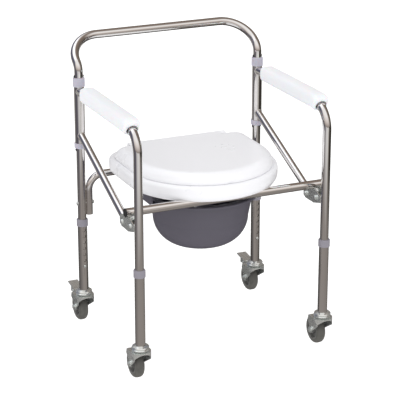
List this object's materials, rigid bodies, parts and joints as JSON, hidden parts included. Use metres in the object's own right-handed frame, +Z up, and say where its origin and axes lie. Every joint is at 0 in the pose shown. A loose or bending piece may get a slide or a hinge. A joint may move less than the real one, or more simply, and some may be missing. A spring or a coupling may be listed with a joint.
{
  "type": "commode chair",
  "caption": "Commode chair on swivel castors: chromed tube frame with padded arms, moulded seat with hinged lid, a sliding pail and telescopic legs.",
  "frame": {"origin": "on the floor, under the middle of the four leg axes", "axes": "+X to the viewer's right when facing the chair from the front, +Y to the chair's rear, +Z up"},
  "size_m": [0.567, 0.5176, 0.7901],
  "materials": {
    "chromed_tube": "bright chrome plate",
    "zinc_steel": "bright zinc plate",
    "bush_plastic": "satin nylon",
    "collar_plastic": "satin nylon",
    "black_plastic": "matte",
    "pad_plastic": "soft satin",
    "seat_plastic": "satin moulded polypropylene",
    "pail_plastic": "satin moulded polypropylene",
    "wheel_plastic": "satin",
    "tyre_rubber": "matte"
  },
  "bodies": {
    "frame": {"rear_hoop": "chromed_tube", "seat_bow": "chromed_tube", "bow_bolts": "zinc_steel", "hinge_tube_left": "chromed_tube", "hinge_tube_right": "chromed_tube", "upper_bushes": "bush_plastic", "lower_bushes": "bush_plastic", "hinge_pins": "black_plastic", "arm_tube_left": "chromed_tube", "arm_tube_right": "chromed_tube", "brace_left": "chromed_tube", "brace_right": "chromed_tube", "bracket_left": "zinc_steel", "bracket_right": "zinc_steel", "bracket_bolts": "zinc_steel", "arm_pad_left": "pad_plastic", "arm_pad_right": "pad_plastic", "front_bar": "chromed_tube", "bar_caps": "black_plastic", "seat": "seat_plastic", "seat_clips": "black_plastic", "seat_screws": "zinc_steel", "pail_rails": "pail_plastic", "lid_hinge_pins": "zinc_steel"},
    "lid": {"lid": "seat_plastic"},
    "pail": {"pail": "pail_plastic"},
    "leg_fl": {"leg_tube_fl": "chromed_tube", "leg_collar_fl": "collar_plastic", "castor_stem_fl": "zinc_steel"},
    "button_fl": {"lock_button_fl": "zinc_steel"},
    "castor_fl": {"castor_fork_fl": "zinc_steel", "axle_bolt_fl": "zinc_steel"},
    "wheel_fl": {"wheel_core_fl": "wheel_plastic", "tyre_fl": "tyre_rubber"},
    "leg_fr": {"leg_tube_fr": "chromed_tube", "leg_collar_fr": "collar_plastic", "castor_stem_fr": "zinc_steel"},
    "button_fr": {"lock_button_fr": "zinc_steel"},
    "castor_fr": {"castor_fork_fr": "zinc_steel", "axle_bolt_fr": "zinc_steel"},
    "wheel_fr": {"wheel_core_fr": "wheel_plastic", "tyre_fr": "tyre_rubber"},
    "leg_rl": {"leg_tube_rl": "chromed_tube", "leg_collar_rl": "collar_plastic", "castor_stem_rl": "zinc_steel"},
    "button_rl": {"lock_button_rl": "zinc_steel"},
    "castor_rl": {"castor_fork_rl": "zinc_steel", "axle_bolt_rl": "zinc_steel"},
    "wheel_rl": {"wheel_core_rl": "wheel_plastic", "tyre_rl": "tyre_rubber"},
    "pedal_rl": {"brake_pedal_rl": "zinc_steel"},
    "leg_rr": {"leg_tube_rr": "chromed_tube", "leg_collar_rr": "collar_plastic", "castor_stem_rr": "zinc_steel"},
    "button_rr": {"lock_button_rr": "zinc_steel"},
    "castor_rr": {"castor_fork_rr": "zinc_steel", "axle_bolt_rr": "zinc_steel"},
    "wheel_rr": {"wheel_core_rr": "wheel_plastic", "tyre_rr": "tyre_rubber"},
    "pedal_rr": {"brake_pedal_rr": "zinc_steel"}
  },
  "joints": [
    {"name": "lid_hinge", "type": "hinge", "parent": "frame", "child": "lid", "pos_m": [0, 0.155, 0.4973], "axis": [-1, 0, 0], "range_deg": [0, 93]},
    {"name": "pail_slide", "type": "slide", "parent": "frame", "child": "pail", "axis": [0, -1, 0], "range_m": [0, 0.28]},
    {"name": "leg_height_fl", "type": "slide", "parent": "frame", "child": "leg_fl", "axis": [0, 0, -1], "range_m": [0, 0.102]},
    {"name": "button_press_fl", "type": "slide", "parent": "frame", "child": "button_fl", "axis": [0, -1, 0], "range_m": [0, 0.005], "stiffness_N_per_m": 1500, "springref_m": -0.002},
    {"name": "castor_swivel_fl", "type": "hinge", "parent": "leg_fl", "child": "castor_fl", "pos_m": [-0.257, -0.2, 0.09], "axis": [0, 0, 1], "continuous": true},
    {"name": "wheel_spin_fl", "type": "hinge", "parent": "castor_fl", "child": "wheel_fl", "pos_m": [-0.257, -0.167, 0.0375], "axis": [1, 0, 0], "continuous": true},
    {"name": "leg_height_fr", "type": "slide", "parent": "frame", "child": "leg_fr", "axis": [0, 0, -1], "range_m": [0, 0.102]},
    {"name": "button_press_fr", "type": "slide", "parent": "frame", "child": "button_fr", "axis": [0, -1, 0], "range_m": [0, 0.005], "stiffness_N_per_m": 1500, "springref_m": -0.002},
    {"name": "castor_swivel_fr", "type": "hinge", "parent": "leg_fr", "child": "castor_fr", "pos_m": [0.257, -0.2, 0.09], "axis": [0, 0, 1], "continuous": true},
    {"name": "wheel_spin_fr", "type": "hinge", "parent": "castor_fr", "child": "wheel_fr", "pos_m": [0.257, -0.167, 0.0375], "axis": [1, 0, 0], "continuous": true},
    {"name": "leg_height_rl", "type": "slide", "parent": "frame", "child": "leg_rl", "axis": [0, 0, -1], "range_m": [0, 0.102]},
    {"name": "button_press_rl", "type": "slide", "parent": "frame", "child": "button_rl", "axis": [0, 1, 0], "range_m": [0, 0.005], "stiffness_N_per_m": 1500, "springref_m": -0.002},
    {"name": "castor_swivel_rl", "type": "hinge", "parent": "leg_rl", "child": "castor_rl", "pos_m": [-0.257, 0.2, 0.09], "axis": [0, 0, 1], "continuous": true},
    {"name": "wheel_spin_rl", "type": "hinge", "parent": "castor_rl", "child": "wheel_rl", "pos_m": [-0.257, 0.233, 0.0375], "axis": [1, 0, 0], "continuous": true},
    {"name": "brake_press_rl", "type": "hinge", "parent": "castor_rl", "child": "pedal_rl", "pos_m": [-0.257, 0.243, 0.082], "axis": [-1, 0, 0], "range_deg": [0, 18]},
    {"name": "leg_height_rr", "type": "slide", "parent": "frame", "child": "leg_rr", "axis": [0, 0, -1], "range_m": [0, 0.102]},
    {"name": "button_press_rr", "type": "slide", "parent": "frame", "child": "button_rr", "axis": [0, 1, 0], "range_m": [0, 0.005], "stiffness_N_per_m": 1500, "springref_m": -0.002},
    {"name": "castor_swivel_rr", "type": "hinge", "parent": "leg_rr", "child": "castor_rr", "pos_m": [0.257, 0.2, 0.09], "axis": [0, 0, 1], "continuous": true},
    {"name": "wheel_spin_rr", "type": "hinge", "parent": "castor_rr", "child": "wheel_rr", "pos_m": [0.257, 0.233, 0.0375], "axis": [1, 0, 0], "continuous": true},
    {"name": "brake_press_rr", "type": "hinge", "parent": "castor_rr", "child": "pedal_rr", "pos_m": [0.257, 0.243, 0.082], "axis": [-1, 0, 0], "range_deg": [0, 18]}
  ]
}
